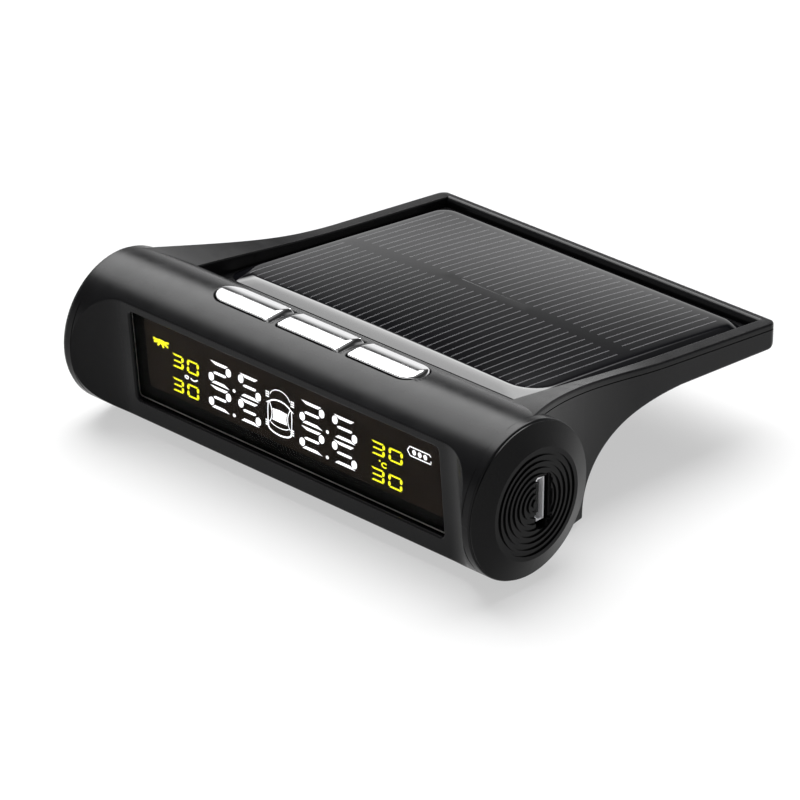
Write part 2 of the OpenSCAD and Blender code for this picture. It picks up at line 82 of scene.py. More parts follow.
WING_HALF = 37.8
WING_REAR_Z = 4.5
WING_SLOPE = 0.088
WING_TILT = math.atan(WING_SLOPE)
FAIRING_L = 34.0
RISE_L = 42.0
RIM_EDGE = 0.45
RIM_IN = 35.2
REAR_CORNER_R = 1.8
REAR_EDGE_R = 2.2
RECESS_FRONT, RECESS_REAR = 12.2, 66.55
RECESS_FRONT_DEPTH, RECESS_DEPTH = 1.9, 1.8
REAR_TOP = (67.7, 67.95)
RIM_LEAN = 0.5
SEAM_DROP = 1.0
GROOVE = [(0.0, 0.0), (0.28, 0.03), (0.28, 0.15), (0.0, 0.18)]
BASE_REAR, ARCH_Y, ARCH_TOP, ARCH_POWER = 20.0, 45.0, 1.2, 2.3
SCREW_X, SCREW_YS, SCREW_HOLE_R, SCREW_HOLE_DEPTH = 34.0, (5.2, 13.6), 2.15, 1.3
WING_CAVITY_FRONT, WING_CAVITY_REAR, WING_CAVITY_DROP = 2.0, 52.0, 2.9

LENS_W, LENS_L, LENS_R = 69.2, 53.0, 3.6
LENS_MID_Y = 39.2
LENS_UNDER = -1.7

TUBE = Matrix.Diagonal((MM, MM, MM, 1)) @ Matrix.Translation((0, AXIS_Y, AXIS_Z))
DISPLAY_TURN = Matrix.Rotation(DISPLAY_TILT, 4, "X")
DISPLAY = TUBE @ DISPLAY_TURN
WING = TUBE @ Matrix.Translation((0, REAR_Y, WING_REAR_Z)) @ Matrix.Rotation(-WING_TILT, 4, "X")


# ---- Mesh helpers ----

def new_mesh(points, faces):
    mesh = bpy.data.meshes.new("made")
    mesh.from_pydata([tuple(map(float, p)) for p in points], [], [tuple(map(int, f)) for f in faces])
    tidy_mesh(mesh)
    return mesh


def tidy_mesh(mesh, distance=1e-4):
    bm = bmesh.new()
    bm.from_mesh(mesh)
    bmesh.ops.remove_doubles(bm, verts=bm.verts, dist=distance)
    bmesh.ops.dissolve_degenerate(bm, edges=bm.edges, dist=distance)
    bmesh.ops.recalc_face_normals(bm, faces=bm.faces)
    bm.to_mesh(mesh)
    bm.free()


def ring_faces(rows, cols, bands):
    """Faces between neighbouring loops; the last loop meets the first one where bands is as many as rows."""
    faces = []
    for i in range(bands):
        this, following = i * cols, (i + 1) % rows * cols
        for j in range(cols):
            k = (j + 1) % cols
            faces.append((this + j, this + k, following + k, following + j))
    return faces


def loft(loops):
    """A closed mesh through closed loops that all have the same number of points."""
    loops = np.asarray(loops, float)
    rows, cols = loops.shape[:2]
    faces = ring_faces(rows, cols, rows - 1)
    faces.append(tuple(range(cols)))
    faces.append(tuple((rows - 1) * cols + j for j in reversed(range(cols))))
    return new_mesh(loops.reshape(-1, 3), faces)


def box_mesh(low, high):
    (x0, y0, z0), (x1, y1, z1) = low, high
    return loft([[(x0, y0, z), (x1, y0, z), (x1, y1, z), (x0, y1, z)] for z in (z0, z1)])


def cylinder(x, y, radius, low, high):
    """Upright cylinder."""
    angles = np.radians(np.linspace(0, 360, 33)[:-1])
    ring = [(x + radius * math.cos(a), y + radius * math.sin(a)) for a in angles]
    return loft([[(u, v, z) for u, v in ring] for z in (low, high)])


def add_object(name, data):
    obj = bpy.data.objects.new(name, data)
    bpy.context.scene.collection.objects.link(obj)
    return obj


def cut(mesh, cutter, operation="DIFFERENCE"):
    """The first mesh less the second one, or with UNION the two as one solid."""
    body, tool = add_object("body", mesh), add_object("tool", cutter)
    mod = body.modifiers.new("cut", "BOOLEAN")
    mod.object, mod.operation, mod.solver = tool, operation, "EXACT"
    bpy.context.view_layer.update()
    graph = bpy.context.evaluated_depsgraph_get()
    result = bpy.data.meshes.new_from_object(body.evaluated_get(graph))
    for o in (body, tool):
        data = o.data
        bpy.data.objects.remove(o)
        bpy.data.meshes.remove(data)
    return result


def piece(name, mesh, material, matrix=TUBE, body="housing", replaces=(), sharp=35):
    """Places a mesh in the row frame as a piece of the object."""
    mesh.transform(matrix)
    mesh.name = name
    mesh.materials.clear()
    mesh.materials.append(material)
    for p in mesh.polygons:
        p.material_index = 0
    mesh.shade_smooth()
    mesh.set_sharp_from_angle(angle=math.radians(sharp))
    obj = add_object(name, mesh)
    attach(obj, body)
    if replaces:
        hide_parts(*replaces)
    even = obj.modifiers.new("normals", "WEIGHTED_NORMAL")
    even.mode, even.keep_sharp = "FACE_AREA", True
    return obj


def corner_outline(half_w, half_l, radii, side, corner):
    """Points of a rectangle with a radius at each corner, anticlockwise, with the same count for any size."""
    signs = [(1, 1), (-1, 1), (-1, -1), (1, -1)]
    points = []
    for k, (sx, sy) in enumerate(signs):
        r = radii[k]
        cx, cy = sx * (half_w - r), sy * (half_l - r)
        for i in range(corner + 1):
            a = math.radians(90 * (k + i / corner))
            points.append((cx + r * math.cos(a), cy + r * math.sin(a)))
        (nx, ny), nr = signs[(k + 1) % 4], radii[(k + 1) % 4]
        b = math.radians(90 * (k + 1))
        start = points[-1]
        end = (nx * (half_w - nr) + nr * math.cos(b), ny * (half_l - nr) + nr * math.sin(b))
        for i in range(1, side):
            t = i / side
            points.append((start[0] + (end[0] - start[0]) * t, start[1] + (end[1] - start[1]) * t))
    return np.array(points)


def rounded_outline(w, l, r, side=8):
    return corner_outline(w / 2, l / 2, [r] * 4, side, 8)


def flare(radius, steps=5):
    """(depth, growth) pairs down a rounded edge, from the surface inwards."""
    angles = [math.radians(90 * i / steps) for i in range(steps + 1)]
    return [(radius * (1 - math.cos(a)), radius * (1 - math.sin(a))) for a in angles]


# ---- Materials ----

def fill_ramp(ramp, stops):
    while len(ramp.elements) < len(stops):
        ramp.elements.new(0.5)
    for element, (place, colour) in zip(ramp.elements, stops):
        element.position = place
        element.color = (*colour, 1)


def set_range(node, *values):
    """Sets a Map Range node's limits: where it reads from and to, and what it gives there."""
    for name, value in zip(("From Min", "From Max", "To Min", "To Max"), values):
        node.inputs[name].default_value = value


class Nodes:
    """Short calls for building a material's nodes."""

    def __init__(self, name):
        self.material = bpy.data.materials.new(name)
        self.material.use_nodes = True
        self.tree = self.material.node_tree
        self.shader = self.tree.nodes["Principled BSDF"]

    def add(self, kind):
        return self.tree.nodes.new(kind)

    def link(self, a, b):
        self.tree.links.new(a, b)

    def colour(self, source):
        self.link(source, self.shader.inputs["Base Color"])

    def roughness(self, scale, low, high):
        """Gloss patches of this scale, between two roughness values."""
        node = self.add("ShaderNodeMapRange")
        set_range(node, 0.3, 0.7, low, high)
        self.link(self.noise(scale), node.inputs["Value"])
        self.link(node.outputs["Result"], self.shader.inputs["Roughness"])

    def position(self):
        return self.add("ShaderNodeTexCoord").outputs["Object"]

    def noise(self, scale, detail=3.0):
        node = self.add("ShaderNodeTexNoise")
        node.inputs["Scale"].default_value = scale
        node.inputs["Detail"].default_value = detail
        self.link(self.position(), node.inputs["Vector"])
        return node.outputs["Fac"]

    def ramp(self, fac, low, high):
        """Colour that goes from one value to another with a noise."""
        node = self.add("ShaderNodeValToRGB")
        fill_ramp(node.color_ramp, [(0.3, low), (0.7, high)])
        self.link(fac, node.inputs["Fac"])
        return node.outputs["Color"]

    def math(self, operation, a, b=None):
        node = self.add("ShaderNodeMath")
        node.operation = operation
        for socket, value in zip(node.inputs, (a, b)):
            if value is None:
                continue
            if isinstance(value, (int, float)):
                socket.default_value = value
            else:
                self.link(value, socket)
        return node.outputs["Value"]

    def bump(self, height, distance):
        """Surface relief, with its height in millimetres."""
        node = self.add("ShaderNodeBump")
        node.inputs["Strength"].default_value = 1.0
        node.inputs["Distance"].default_value = distance * MM
        self.link(height, node.inputs["Height"])
        self.link(node.outputs["Normal"], self.shader.inputs["Normal"])

    def set(self, **values):
        for key, value in values.items():
            self.shader.inputs[key.replace("_", " ")].default_value = value


def shade(colour, factor):
    return tuple(c * factor for c in colour)


def plain(name, colour, roughness, spread=0.05, specular=0.5, metallic=0.0, vary=0.15, grain=2600.0,
          grain_depth=0.004):
    """Moulded or rolled stuff: slow colour and gloss patches with a fine surface grain."""
    patch = 140.0
    n = Nodes(name)
    n.colour(n.ramp(n.noise(patch, 4.0), shade(colour, 1 - vary), shade(colour, 1 + vary)))
    n.roughness(patch * 2.3, roughness - spread, roughness + spread)
    n.bump(n.noise(grain, 2.0), grain_depth)
    n.set(Specular_IOR_Level=specular, Metallic=metallic)
    return n.material


def display_glow(name, colour, strength):
    """Lit display segments, a little uneven in brightness."""
    n = Nodes(name)
    tone = n.ramp(n.noise(420.0, 2.0), shade(colour, 0.92), colour)
    n.colour(tone)
    n.link(tone, n.shader.inputs["Emission Color"])
    n.set(Emission_Strength=strength, Roughness=0.5)
    return n.material


def board_material():
    """Green solder mask with faint copper tracks."""
    n = Nodes("circuit_board")
    brick = n.add("ShaderNodeTexBrick")
    brick.inputs["Scale"].default_value = 420.0
    brick.inputs["Color1"].default_value = (0.012, 0.085, 0.03, 1)
    brick.inputs["Color2"].default_value = (0.01, 0.07, 0.026, 1)
    brick.inputs["Mortar"].default_value = (0.03, 0.16, 0.05, 1)
    brick.inputs["Mortar Size"].default_value = 0.03
    n.link(n.position(), brick.inputs["Vector"])
    n.colour(brick.outputs["Color"])
    n.bump(brick.outputs["Fac"], 0.02)
    n.roughness(300.0, 0.3, 0.42)
    return n.material


LINE_PITCH, LINE_HALF, LINE_SHIFT, CELL_HALF = 1.76, 0.14, 90.0, 32.0
CELL_ROWS = [(15.1, 37.2), (40.3, 61.6)]


def solar_material():
    """Black solar cells under a clear crown: fine collector lines in two rows, with plain edges."""
    n = Nodes("solar_lens")
    split = n.add("ShaderNodeSeparateXYZ")
    n.link(n.position(), split.inputs[0])
    x = n.math("DIVIDE", split.outputs["X"], MM)
    y = n.math("SUBTRACT", n.math("DIVIDE", split.outputs["Y"], MM), AXIS_Y)
    inside = n.math("LESS_THAN", n.math("ABSOLUTE", x), CELL_HALF)
    rows = None
    for low, high in CELL_ROWS:
        half, mid = (high - low) / 2, (high + low) / 2
        row = n.math("LESS_THAN", n.math("ABSOLUTE", n.math("SUBTRACT", y, mid)), half)
        rows = row if rows is None else n.math("MAXIMUM", rows, row)
    pitches = n.math("DIVIDE", n.math("ADD", x, LINE_SHIFT), LINE_PITCH)
    phase = n.math("SUBTRACT", n.math("FRACT", pitches), 0.5)
    away = n.math("MULTIPLY", n.math("ABSOLUTE", phase), LINE_PITCH)
    edge = n.add("ShaderNodeMapRange")
    set_range(edge, LINE_HALF * 0.55, LINE_HALF * 1.25, 1.0, 0.0)
    n.link(away, edge.inputs["Value"])
    line = n.math("MULTIPLY", n.math("MULTIPLY", edge.outputs["Result"], rows), inside)
    cell = n.ramp(n.noise(60.0, 4.0), (0.0016, 0.0017, 0.0022), (0.0030, 0.0031, 0.0040))
    mix = n.add("ShaderNodeMix")
    mix.data_type = "RGBA"
    n.link(line, mix.inputs["Factor"])
    n.link(cell, mix.inputs["A"])
    mix.inputs["B"].default_value = (0.070, 0.070, 0.073, 1)
    n.colour(mix.outputs["Result"])
    n.roughness(160.0, 0.03, 0.06)
    n.bump(n.noise(900.0, 2.0), 0.002)
    n.set(Specular_IOR_Level=0.5)
    return n.material


def lens_material():
    """Clear display window, very slightly smoked."""
    n = Nodes("smoked_lens")
    n.colour(n.ramp(n.noise(90.0), (0.90, 0.90, 0.91), (0.94, 0.94, 0.94)))
    n.roughness(200.0, 0.01, 0.03)
    n.set(Transmission_Weight=1.0, IOR=1.05)
    return n.material


def screw_material():
    n = Nodes("screw_steel")
    n.colour(n.ramp(n.noise(500.0), (0.32, 0.32, 0.34), (0.45, 0.45, 0.47)))
    n.roughness(1500.0, 0.28, 0.42)
    n.bump(n.noise(2500.0), 0.004)
    n.set(Metallic=1.0)
    return n.material


MATERIALS = {
    "smoked_lens": lens_material(),
    "display_yellow": display_glow("display_yellow", (0.95, 0.90, 0.0), 1.0),
    "display_white": display_glow("display_white", (1.0, 1.0, 1.0), 1.0),
    "circuit_board": board_material(),
    "solar_lens": solar_material(),
    "screw_steel": screw_material(),
}
PLAIN = {
    "shell_plastic": dict(colour=(0.0060, 0.0060, 0.0064), roughness=0.23, spread=0.03, specular=0.11,
                          grain_depth=0.002),
    "cap_plastic": dict(colour=(0.0030, 0.0030, 0.0032), roughness=0.2, spread=0.03, specular=0.10,
                        grain_depth=0.001),
    "lcd_glass": dict(colour=(0.015, 0.0100, 0.0062), roughness=0.5, specular=0.03, grain_depth=0.001),
    "white_plastic": dict(colour=(0.72, 0.71, 0.68), roughness=0.42),
    "black_plastic": dict(colour=(0.012, 0.012, 0.012), roughness=0.4, specular=0.3),
    "key_chrome": dict(colour=(0.86, 0.86, 0.87), roughness=0.09, spread=0.03, metallic=1.0, vary=0.03,
                       grain_depth=0.0006),
    "socket_steel": dict(colour=(0.90, 0.90, 0.92), roughness=0.42, spread=0.06, metallic=0.35, vary=0.06),
    "battery_foil": dict(colour=(0.60, 0.61, 0.63), roughness=0.32, metallic=1.0, grain=900.0,
                         grain_depth=0.02),
    "foam": dict(colour=(0.03, 0.03, 0.032), roughness=0.9, specular=0.1, grain=1800.0, grain_depth=0.05),
    "red_wire": dict(colour=(0.45, 0.02, 0.02), roughness=0.4),
    "black_wire": dict(colour=(0.012, 0.012, 0.012), roughness=0.4),
    "coil_brass": dict(colour=(0.70, 0.46, 0.17), roughness=0.25, metallic=1.0),
    "solar_cell": dict(colour=(0.004, 0.005, 0.012), roughness=0.25),
    "pad_rubber": dict(colour=(0.022, 0.022, 0.023), roughness=0.75, specular=0.2, grain=1500.0,
                       grain_depth=0.03),
    "print_black": dict(colour=(0.0012, 0.0012, 0.0012), roughness=0.6, specular=0.02, grain_depth=0.001),
}
MATERIALS.update({name: plain(name, **look) for name, look in PLAIN.items()})
SLOTS = {s["node"]: s["material_slot"] for s in frame["record"]["subparts"]}
for node, obj in frame["nodes"].items():
    obj.data.materials.clear()
    obj.data.materials.append(MATERIALS[SLOTS[node]])


# ---- Tube with the scooped display facet ----

def circle_height(y, drop=0.0):
    return math.sqrt(max((TUBE_R - drop) ** 2 - y * y, 0.0))


def tube_section(x, y_cut, radius, fillet=0.45):
    """Section of the tube across its axis, in the display frame, with rounded corners at the facet."""
    y_cut = max(y_cut, -radius)
    cy = y_cut + fillet
    cz = math.sqrt(max((radius - fillet) ** 2 - cy * cy, 0.0))
    turn = math.atan2(cz, cy)
    half = [(radius * math.cos(a), radius * math.sin(a)) for a in np.linspace(0, turn, 56)]
    half += [(cy + fillet * math.cos(a), cz + fillet * math.sin(a)) for a in np.linspace(turn, math.pi, 8)[1:]]
    flat = [(y_cut, z) for z in np.linspace(cz, -cz, 10)[1:-1]]
    lower = [(y, -z) for y, z in reversed(half[1:])]
    return [(x, y, z) for y, z in half + flat + lower]


def tube_mesh():
    edge = 0.35
    sweep_stop = math.asin((SWEEP_R + FACET_DEPTH - TUBE_R) / SWEEP_R)
    stations = [(x, -FACET_DEPTH, TUBE_R) for x in np.linspace(0, SWEEP_X, 7)]
    for a in np.linspace(math.pi / 2, sweep_stop, 26)[1:]:
        x = SWEEP_X + SWEEP_R * math.cos(a)
        y = -(FACET_DEPTH + SWEEP_R) + SWEEP_R * math.sin(a)
        stations.append((x, y, TUBE_R))
    stations.append((stations[-1][0] + 0.05, -TUBE_R, TUBE_R))
    for a in np.linspace(0, math.pi / 2, 6):
        stations.append((TUBE_HALF - edge + edge * math.sin(a), -TUBE_R, TUBE_R - edge * (1 - math.cos(a))))
    loops = [tube_section(-x, y, r) for x, y, r in reversed(stations[1:])]
    loops += [tube_section(x, y, r) for x, y, r in stations]
    return loft(loops)


def window_cutter():
    """Opening of the window, with its rim rounded over at the facet."""
    edge = 0.45
    floor_y = LCD_FRONT + 0.2
    levels = [(floor_y, 0.0)] + [(-FACET_DEPTH - 0.01 + d, g) for d, g in reversed(flare(edge))]
    levels += [(-FACET_DEPTH - 0.5, edge), (-FACET_DEPTH - 8, edge)]
    loops = []
    for y, grow in levels:
        outline = rounded_outline(WINDOW_W + 2 * grow, WINDOW_H + 2 * grow, WINDOW_R + grow)
        loops.append([(u, y, v + WINDOW_RISE) for u, v in outline])
    mesh = loft(loops)
    mesh.transform(DISPLAY_TURN)
    return mesh


def key_outline(end, grow):
    """Plan of a key about its middle: a rounded end where end is -1 or 1, otherwise small corners."""
    half_l, half_w = KEY_L / 2 + grow, KEY_W / 2 + grow
    radii = [half_w if sx == end else KEY_CORNER + grow for sx in (1, -1, -1, 1)]
    return corner_outline(half_l, half_w, radii, 10, 10)


def key_cutter(i):
    """Slot for a key, with its rim rounded over along the tube's surface."""
    edge, low, high = 0.22, 10.4, 16.0
    loops = [[(u + i * KEY_PITCH, v + KEY_Y, low) for u, v in key_outline(i, KEY_GAP)]]
    for depth, grow in reversed(flare(edge, 4)):
        outline = key_outline(i, KEY_GAP + grow)
        loops.append([(u + i * KEY_PITCH, v + KEY_Y, circle_height(v + KEY_Y, depth)) for u, v in outline])
    outline = key_outline(i, KEY_GAP + edge)
    loops.append([(u + i * KEY_PITCH, v + KEY_Y, high) for u, v in outline])
    return loft(loops)


def key_box(i, side, end, low, high):
    """Block around a key's plan, wider by side along the tube and by end across it."""
    x, half_l, half_w = i * KEY_PITCH, KEY_L / 2 + side, KEY_W / 2 + end
    return box_mesh((x - half_l, KEY_Y - half_w, low), (x + half_l, KEY_Y + half_w, high))


def tube_cavity():
    """Hollow of the tube: flat behind the facet, and round where the end caps plug in."""
    inner = TUBE_R - WALL
    ends = [(CAVITY_FLAT_X, WALL - FACET_DEPTH), (CAVITY_ROUND_X, -inner), (TUBE_HALF + 1, -inner)]
    loops = [tube_section(-x, y, inner) for x, y in reversed(ends)]
    loops += [tube_section(x, y, inner) for x, y in ends]
    return loft(loops)


def make_tube():
    mesh = cut(tube_mesh(), tube_cavity())
    half_w, half_h = WINDOW_W / 2 + POCKET_SIDE, WINDOW_H / 2 + POCKET_END
    low, high = (-half_w, LIP_BACK, WINDOW_RISE - half_h), (half_w, POCKET_BACK, WINDOW_RISE + half_h)
    mesh = cut(mesh, box_mesh(low, high))
    mesh.transform(DISPLAY_TURN)
    mesh = cut(mesh, window_cutter())
    pocket_top = FLANGE_Z + FLANGE_T + KEY_POCKET_TOP
    for i in (-1, 0, 1):
        mesh = cut(mesh, key_cutter(i))
        mesh = cut(mesh, key_box(i, KEY_POCKET_SIDE, KEY_POCKET_END, KEY_POCKET_Z, pocket_top))
    tidy_mesh(mesh, 2e-4)
    piece("tube_shell", mesh, MATERIALS["shell_plastic"], replaces=["upper_shell"], sharp=28)


# ---- Wing: fairings, rim, seam, deck and underside in one loft ----

FAIRING_OUT = TUBE_HALF - WING_HALF
FAIRING_R = (FAIRING_L**2 + FAIRING_OUT**2) / (2 * FAIRING_OUT)


def plane_z(y):
    return WING_REAR_Z + WING_SLOPE * (REAR_Y - y)


def rim_z(y):
    s = min(max(y / RISE_L, 0.0), 1.0)
    return plane_z(y) + (TUBE_R - plane_z(0)) * (1 - s * s * (3 - 2 * s))


def half_width(y):
    if y < FAIRING_L:
        return WING_HALF + FAIRING_R - math.sqrt(FAIRING_R**2 - (FAIRING_L - y) ** 2)
    back = y - (REAR_Y - REAR_CORNER_R)
    if back <= 0:
        return WING_HALF
    return WING_HALF - REAR_CORNER_R + math.sqrt(max(REAR_CORNER_R**2 - back * back, 0.0))


def under_z(y):
    if y <= BASE_REAR:
        return BASE_Z
    if y < ARCH_Y:
        c = ((ARCH_Y - y) / (ARCH_Y - BASE_REAR)) ** (ARCH_POWER / 2)
        return BASE_Z + (ARCH_TOP - BASE_Z) * math.sqrt(max(1 - c * c, 0.0)) ** (2 / ARCH_POWER)
    edge = REAR_Y - REAR_EDGE_R
    if y <= edge:
        return ARCH_TOP * (edge - y) / (edge - ARCH_Y)
    return REAR_EDGE_R - math.sqrt(max(REAR_EDGE_R**2 - (y - edge) ** 2, 0.0))


def arc(cx, cz, r, start, stop, steps):
    angles = np.radians(np.linspace(start, stop, steps + 1))
    return [(cx + r * math.cos(a), cz + r * math.sin(a)) for a in angles]


def wing_section(y, top_drop=0.0, deck=None):
    """Section of the wing along the tube: underside, side, seam groove, rim, inner wall and deck."""
    under, top, half = under_z(y), rim_z(y) - top_drop, half_width(y)
    low_r, top_r, in_r = 0.5, RIM_EDGE, 0.3
    flat = deck is None
    deck_z = top if flat else deck
    right = [(half * k / 4, under) for k in range(4)]
    right += arc(half - low_r, under + low_r, low_r, -90, 0, 5)
    bottom, head = under + low_r, top - SEAM_DROP - GROOVE[-1][1]
    right += [(half, bottom + (head - bottom) * k / 8) for k in range(1, 8)]
    right += [(half - inwards, head + up) for inwards, up in GROOVE]
    right += arc(half - top_r, top - top_r, top_r, 0, 90, 7)
    inner = min(RIM_IN, half - top_r - 0.35)
    in_top = min(top, top - RIM_LEAN * (rim_z(y) - plane_z(y)))
    if flat:
        right += [(inner + in_r - in_r * k / 5, in_top) for k in range(6)]
    else:
        right += [(x, max(z, deck_z)) for x, z in arc(inner + in_r, in_top - in_r, in_r, 90, 180, 5)]
    right += [(inner, deck_z), (inner * 0.6, deck_z), (inner * 0.3, deck_z)]
    left = [(-x, z) for x, z in reversed(right[1:])]
    ring = right + [(0.0, deck_z)] + left
    return [(x, y, z) for x, z in ring]


def wing_mesh():
    step, arch_steps = 0.02, 36
    floor = [(y, RECESS_FRONT_DEPTH) for y in np.linspace(step, RECESS_FRONT, 12)]
    floor += [(y, RECESS_DEPTH) for y in np.linspace(RECESS_FRONT + step, BASE_REAR, 6)]
    for i in range(1, arch_steps + 1):
        c = math.cos(math.radians(90 * i / arch_steps))
        floor.append((ARCH_Y - (ARCH_Y - BASE_REAR) * c ** (2 / ARCH_POWER), RECESS_DEPTH))
    floor += [(y, RECESS_DEPTH) for y in np.linspace(ARCH_Y, RECESS_REAR, 9)[1:]]
    loops = [wing_section(y, deck=plane_z(y) - depth) for y, depth in floor]
    in_r, top_r = 1.0, RIM_EDGE
    for a in np.radians(np.linspace(0, 90, 11)):
        y = RECESS_REAR + step + in_r * (1 - math.cos(a))
        loops.append(wing_section(y, deck=rim_z(y) - in_r * (1 - math.sin(a))))
    loops += [wing_section(y) for y in REAR_TOP]
    for a in np.radians(np.linspace(0, 88, 10)):
        loops.append(wing_section(REAR_Y - top_r + top_r * math.sin(a), top_drop=top_r * (1 - math.cos(a))))
    return loft(loops)


def wing_cavity():
    """Hollow of the wing between its underside and the floor of the recess, open towards the tube."""
    loops = []
    reach = np.linspace(-WALL, WALL, 29)
    for y in np.linspace(WING_CAVITY_FRONT, WING_CAVITY_REAR, 126):
        low = max(under_z(y + d) + math.sqrt(max(WALL**2 - d * d, 0.0)) for d in reach)
        half, high = half_width(y) - WALL, plane_z(y) - WING_CAVITY_DROP
        loops.append([(-half, y, low), (half, y, low), (half, y, high), (-half, y, high)])
    return loft(loops)


def make_wing():
    saddle = TUBE_R - 0.05
    ends = (-TUBE_HALF - 1, TUBE_HALF + 1)
    mesh = cut(wing_mesh(), loft([tube_section(x, -saddle, saddle) for x in ends]))
    mesh = cut(mesh, wing_cavity())
    for x in (SCREW_X, -SCREW_X):
        for y in SCREW_YS:
            mesh = cut(mesh, cylinder(x, y, SCREW_HOLE_R, BASE_Z - 1, BASE_Z + SCREW_HOLE_DEPTH))
    piece("wing_shell", mesh, MATERIALS["shell_plastic"], replaces=["lower_shell"], sharp=28)


# ---- Solar panel ----

def make_solar_panel():
    bevel_in, bevel_up, crown = 1.6, 1.2, 1.0
    skirt, front_soft, rear_soft = 0.9, 0.16, 0.3
    front_swell, least_r = 1.4, 0.4
    crease_z = LENS_UNDER + bevel_up
    slope = bevel_up / bevel_in

    def top_z(u, v, inset):
        """Height of the bevel or the crowned top, whichever is lower, with a soft crease between them."""
        swell = (1 - (2 * u / LENS_W) ** 2) * (1 - (2 * v / LENS_L) ** 2)
        bevel = LENS_UNDER + slope * inset
        top = crease_z + crown * max(swell, 0.0)
        gap = top - bevel
        soft = front_soft + (rear_soft - front_soft) * min(max(v / LENS_L + 0.5, 0.0), 1.0)
        return (top + bevel - math.sqrt(gap * gap + soft * soft)) / 2

    insets = [0, 0.3, 0.6, 0.9, 1.15, 1.35, 1.5, 1.62, 1.75, 1.9, 2.05, 2.25, 2.5, 2.8, 3.3, 4.2, 5.5, 7.5,
              10, 13, 16, 19, 22, 24.5, 26]
    loops = [[(u, v, LENS_UNDER - skirt) for u, v in rounded_outline(LENS_W, LENS_L, LENS_R, side=28)]]
    for inset in insets:
        swollen = LENS_R + front_swell * min(inset / bevel_in, 1.0)
        rear_r = max(LENS_R - inset * 0.5, least_r)
        front_r = max(swollen - 0.4 * max(inset - bevel_in, 0.0), least_r)
        rear, front = [
            rounded_outline(LENS_W - 2 * inset, LENS_L - 2 * inset, min(r, LENS_L / 2 - inset), side=28)
            for r in (rear_r, front_r)
        ]
        outline = np.where(rear[:, 1:] > 0, rear, front)
        loops.append([(u, v, top_z(u, v, inset)) for u, v in outline])
    middle = -(REAR_Y - LENS_MID_Y) / math.cos(WING_TILT)
    matrix = WING @ Matrix.Translation((0, middle, 0))
    piece("solar_panel", loft(loops), MATERIALS["solar_lens"], matrix,
          replaces=["solar_lens"], sharp=30)


# ---- Keys ----

def key_height(x, y):
    """Top of a key: a front and a rear face that meet in a soft ridge, and a sloping right end."""
    level = 13
    front = RIDGE_Z + (y - RIDGE_Y) * KEY_FRONT_SLOPE
    rear = RIDGE_Z - (y - RIDGE_Y) * KEY_REAR_SLOPE
    both = math.exp(-(front - level) / RIDGE_SOFT) + math.exp(-(rear - level) / RIDGE_SOFT)
    height = -RIDGE_SOFT * math.log(both) + level
    return height - KEY_END_SLOPE * max(x - (KEY_L / 2 - KEY_END_L), 0.0)


def make_key(i, name):
    edge, skirt = 0.25, (10.3, 11.6)
    shrinks = (0.97, 0.93, 0.89, 0.84, 0.79, 0.74, 0.68, 0.62, 0.55, 0.48, 0.4, 0.32, 0.24, 0.16, 0.08, 0.02)

    def lift(outline, drop):
        """Lays an outline on the key's top, or this far below it."""
        return [(u + i * KEY_PITCH, v + KEY_Y, key_height(u, v + KEY_Y) - drop) for u, v in outline]

    loops = [[(u + i * KEY_PITCH, v + KEY_Y, z) for u, v in key_outline(i, 0.0)] for z in skirt]
    for a in np.radians(np.linspace(0, 90, 7)):
        loops.append(lift(key_outline(i, -edge * (1 - math.cos(a))), edge * (1 - math.sin(a))))
    last = key_outline(i, -edge)
    loops += [lift(last * k, 0.0) for k in shrinks]
    mesh = cut(loft(loops), key_box(i, FLANGE_SIDE, FLANGE_END, FLANGE_Z, FLANGE_Z + FLANGE_T), "UNION")
    mesh = cut(mesh, cylinder(i * KEY_PITCH, STEM_Y, STEM_R, STEM_Z, FLANGE_Z + STEM_OVERLAP), "UNION")
    piece(name + "_key_cap", mesh, MATERIALS["key_chrome"], body=name + "_button",
          replaces=[name + "_key"], sharp=40)


# ---- Display contents, on the liquid crystal panel ----

SLANT = 0.1


def leaned(x, z):
    return x + SLANT * (z - 1.0)


class Marks:
    """Flat lit shapes on the display, gathered into one mesh."""

    def __init__(self):
        self.points, self.faces = [], []

    def shape(self, outline, lean=True):
        """A thin plate with this outline, given as (x, z) in the display frame."""
        front, back = LCD_FRONT - 0.035, LCD_FRONT - 0.012
        base, count = len(self.points), len(outline)
        for y in (front, back):
            self.points += [(leaned(x, z) if lean else x, y, z) for x, z in outline]
        self.faces.append([base + i for i in range(count)])
        self.faces.append([base + count + i for i in reversed(range(count))])
        for i in range(count):
            j = (i + 1) % count
            self.faces.append([base + i, base + j, base + count + j, base + count + i])

    def stroke(self, line, width, lean=True):
        """A line of even width."""
        points = [Vector(p) for p in line]
        last = len(points) - 1
        left, right = [], []
        for i, p in enumerate(points):
            along = (points[min(i + 1, last)] - points[max(i - 1, 0)]).normalized()
            side = Vector((-along.y, along.x)) * width / 2
            left.append(p + side)
            right.append(p - side)
        for i in range(last):
            self.shape([left[i][:], left[i + 1][:], right[i + 1][:], right[i][:]], lean)

    def mesh(self):
        return new_mesh(self.points, self.faces)


def pill(cx, cz, width, height):
    """A fat upright segment with pointed ends."""
    w, h = width / 2, height / 2
    shape = [(0, 1), (0.75, 0.72), (1, 0.3), (1, -0.3), (0.75, -0.72), (0, -1), (-0.75, -0.72), (-1, -0.3),
             (-1, 0.3), (-0.75, 0.72)]
    return [(cx + w * u, cz + h * v) for u, v in shape]


SEGMENTS = {"0": "abcdef", "2": "abged", "3": "abgcd", "5": "afgcd"}
LARGE, SMALL = (2.12, 0.54, 1.16), (1.24, 0.3, 0.5)


